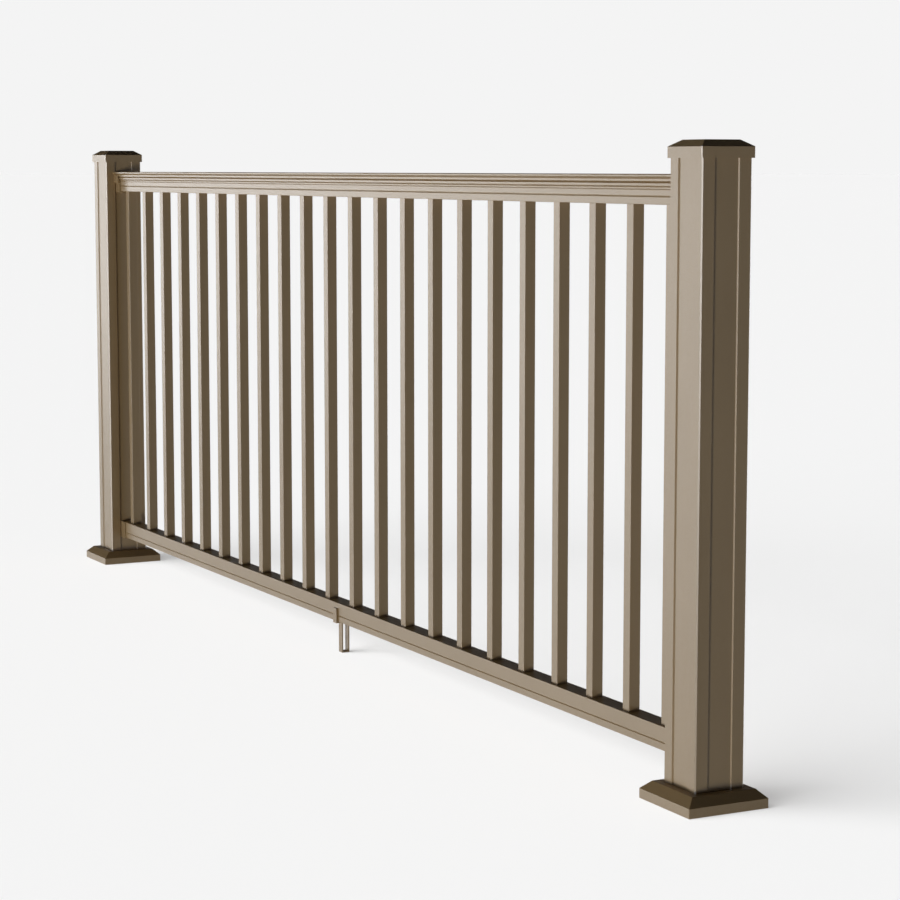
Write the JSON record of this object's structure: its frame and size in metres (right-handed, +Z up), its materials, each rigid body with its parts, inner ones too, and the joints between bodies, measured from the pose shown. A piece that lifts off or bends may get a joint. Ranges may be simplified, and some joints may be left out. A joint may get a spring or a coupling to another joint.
{
  "type": "deck railing section",
  "caption": "Powder-coated aluminium deck railing section: square balusters between a moulded top rail and a bottom rail, held by two capped, fluted posts on skirted bolt-down feet.",
  "frame": {"origin": "middle of the underside of the left post's foot plate, on the deck", "axes": "+X along the rails from the left post to the right post, +Z up, the front faces -Y"},
  "size_m": [2.6594, 0.1368, 0.9653],
  "materials": {
    "powder_coat": "satin powder coat",
    "foot_metal": "mill finish"
  },
  "bodies": {
    "root": {"baluster_01": "powder_coat", "baluster_02": "powder_coat", "baluster_03": "powder_coat", "baluster_04": "powder_coat", "baluster_05": "powder_coat", "baluster_06": "powder_coat", "baluster_07": "powder_coat", "baluster_08": "powder_coat", "baluster_09": "powder_coat", "baluster_10": "powder_coat", "baluster_11": "powder_coat", "baluster_12": "powder_coat", "baluster_13": "powder_coat", "baluster_14": "powder_coat", "baluster_15": "powder_coat", "baluster_16": "powder_coat", "baluster_17": "powder_coat", "baluster_18": "powder_coat", "baluster_19": "powder_coat", "baluster_20": "powder_coat", "baluster_21": "powder_coat", "baluster_22": "powder_coat", "bottom_rail": "powder_coat", "centre_support": "powder_coat", "left_bottom_rail_bracket": "powder_coat", "left_foot_plate": "foot_metal", "left_post": "powder_coat", "left_post_cap": "powder_coat", "left_post_skirt": "powder_coat", "left_top_rail_bracket": "powder_coat", "right_bottom_rail_bracket": "powder_coat", "right_foot_plate": "foot_metal", "right_post": "powder_coat", "right_post_cap": "powder_coat", "right_post_skirt": "powder_coat", "right_top_rail_bracket": "powder_coat", "top_rail": "powder_coat"}
  },
  "joints": []
}
